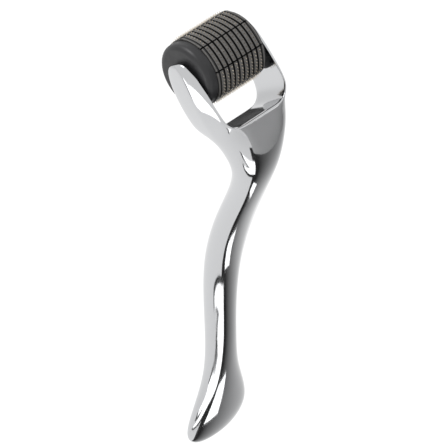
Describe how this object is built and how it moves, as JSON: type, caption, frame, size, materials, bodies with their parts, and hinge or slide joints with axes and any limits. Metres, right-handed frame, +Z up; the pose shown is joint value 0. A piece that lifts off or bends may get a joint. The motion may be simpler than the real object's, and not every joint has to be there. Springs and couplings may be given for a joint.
{
  "type": "derma roller",
  "caption": "Hand-held skin needle roller: a drum of fine needle strips turning on spring pins in a curved, forked metal handle.",
  "frame": {"origin": "the middle of the grip, where the fingers close on it", "axes": "+Z up the handle towards the head, +X along the drum's axle, -Y the palm side"},
  "size_m": [0.031, 0.0355, 0.1569],
  "materials": {
    "chrome": "mirror-polished plating",
    "bush": "turned",
    "steel": "turned and ground",
    "spring": "drawn wire",
    "core": "moulded",
    "cap": "satin moulded",
    "washer": "low-friction plastic",
    "strip": "moulded",
    "needle": "ground, straw-coloured coating"
  },
  "bodies": {
    "handle": {"handle": "chrome", "left_arm_bush": "bush", "right_arm_bush": "bush"},
    "drum": {"drum_core": "core", "axle_tube": "steel", "pivot_spring": "spring", "left_end_cap": "cap", "right_end_cap": "cap", "left_thrust_washer": "washer", "right_thrust_washer": "washer", "needle_strip_1": "strip", "needle_strip_2": "strip", "needle_strip_3": "strip", "needle_strip_4": "strip", "needle_strip_5": "strip", "needle_strip_6": "strip", "needle_strip_7": "strip", "needle_strip_8": "strip", "needles_1": "needle", "needles_2": "needle", "needles_3": "needle", "needles_4": "needle", "needles_5": "needle", "needles_6": "needle", "needles_7": "needle", "needles_8": "needle"},
    "left_pin": {"left_pivot_pin": "steel"},
    "right_pin": {"right_pivot_pin": "steel"}
  },
  "joints": [
    {"name": "roller_spin", "type": "hinge", "parent": "handle", "child": "drum", "pos_m": [0, 0.0104, 0.0778], "axis": [1, 0, 0], "continuous": true},
    {"name": "left_pin_slide", "type": "slide", "parent": "drum", "child": "left_pin", "axis": [1, 0, 0], "range_m": [0, 0.0013], "stiffness_N_per_m": 200, "springref_m": -0.001},
    {"name": "right_pin_slide", "type": "slide", "parent": "drum", "child": "right_pin", "axis": [-1, 0, 0], "range_m": [0, 0.0013], "stiffness_N_per_m": 200, "springref_m": -0.001, "deforming": ["pivot_spring"]}
  ]
}
